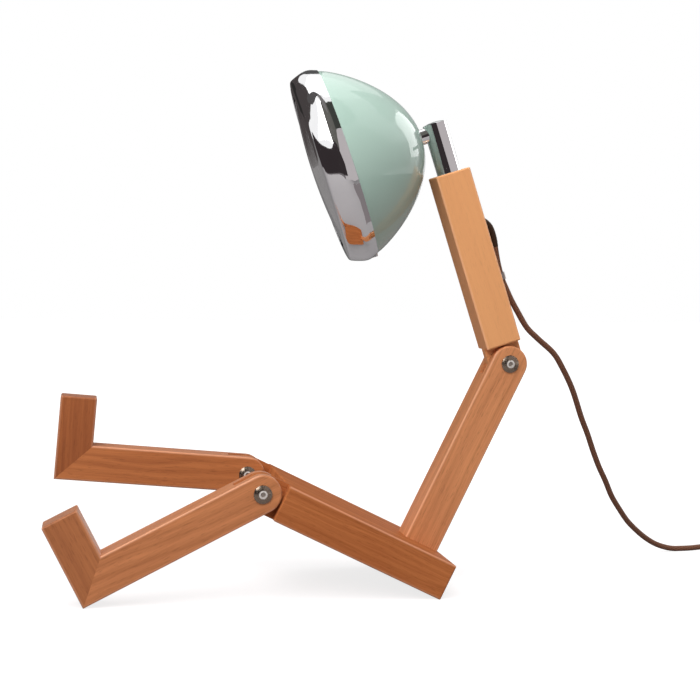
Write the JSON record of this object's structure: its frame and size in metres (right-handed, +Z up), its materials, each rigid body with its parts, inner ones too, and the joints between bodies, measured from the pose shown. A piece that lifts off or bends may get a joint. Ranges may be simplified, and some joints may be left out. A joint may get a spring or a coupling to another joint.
{
  "type": "desk lamp",
  "caption": "Desk lamp shaped like a seated figure: timber limbs on bridle-jointed bolts, a round headlamp shade on a swivelling neck, and a textile lead with switch and plug.",
  "frame": {"origin": "on the table, under the middle of the lamp's box without its lead", "axes": "+Z up, -X the way the lamp faces, its right leg on the -Y side"},
  "size_m": [0.7478, 0.2134, 0.4246],
  "materials": {
    "timber": "oiled, open grain",
    "torso_timber": "oiled, open grain",
    "pale_timber": "oiled, fine grain",
    "dowel_wood": "raw beech",
    "chrome": "polished",
    "steel": "plated",
    "dark_steel": "blackened",
    "mint_paint": "gloss mint green",
    "mirror": "polished",
    "clear_glass": "clear",
    "bulb_glass": "frosted",
    "rubber": "matte",
    "bush_plastic": "natural",
    "fibre": "matte",
    "brass": "turned",
    "ceramic": "unglazed",
    "black_plastic": "satin",
    "rocker_plastic": "gloss",
    "wire": "silicone sheath",
    "textile": "braided"
  },
  "bodies": {
    "seat": {"seat_block": "timber", "lower_torso": "torso_timber", "torso_screws": "steel", "waist_bolt": "chrome", "waist_nut": "chrome", "waist_washers": "fibre", "supply_cord": "textile", "switch_base": "black_plastic", "switch_cover": "black_plastic", "coil_cord": "textile", "cord_coil": "textile", "cord_tie": "black_plastic", "tail_cord": "textile", "plug_body": "black_plastic", "plug_pins": "steel"},
    "near_leg": {"near_shin": "timber", "near_foot": "timber", "near_foot_dowels": "dowel_wood", "near_knee_bolt": "chrome", "near_knee_nut": "chrome", "near_knee_washers": "fibre"},
    "far_leg": {"far_shin": "timber", "far_foot": "timber", "far_foot_dowels": "dowel_wood", "far_knee_bolt": "chrome", "far_knee_nut": "chrome", "far_knee_washers": "fibre"},
    "upper_torso": {"upper_torso": "pale_timber", "neck_bush": "bush_plastic", "cord_relief": "black_plastic", "torso_cord": "textile", "torso_wire": "wire", "cord_clip": "steel", "clip_screws": "steel"},
    "head": {"neck_tube": "chrome", "neck_cap": "chrome", "neck_rings": "rubber", "neck_wire": "wire", "stem_block": "brass", "stem": "dark_steel", "stem_collar": "chrome", "stem_nut": "steel", "shade_bowl": "mint_paint", "shade_rim": "chrome", "rim_screw": "steel", "rim_clips": "steel", "front_glass": "clear_glass", "glass_seal": "rubber", "reflector": "mirror", "lamp_holder": "ceramic", "bulb": "bulb_glass"},
    "rocker": {"switch_rocker": "rocker_plastic"}
  },
  "joints": [
    {"name": "near_knee", "type": "hinge", "parent": "seat", "child": "near_leg", "pos_m": [-0.02959, -0.0658, 0.08594], "axis": [0, 1, 0], "range_deg": [-37.1, 142.9]},
    {"name": "far_knee", "type": "hinge", "parent": "seat", "child": "far_leg", "pos_m": [-0.02959, 0.0492, 0.08594], "axis": [0, 1, 0], "range_deg": [-68.6, 111.4]},
    {"name": "waist", "type": "hinge", "parent": "seat", "child": "upper_torso", "pos_m": [0.1831, -0.0083, 0.18404], "axis": [0, 1, 0], "range_deg": [-46, 134], "deforming": ["supply_cord"]},
    {"name": "neck_swivel", "type": "hinge", "parent": "upper_torso", "child": "head", "pos_m": [0.12128, -0.0083, 0.37561], "axis": [-0.3071, 0, 0.9517], "range_deg": [-160, 160]},
    {"name": "switch_rock", "type": "hinge", "parent": "seat", "child": "rocker", "pos_m": [0.47268, 0.1177, 0.01], "axis": [0, 1, 0], "range_deg": [-14, 0]}
  ]
}
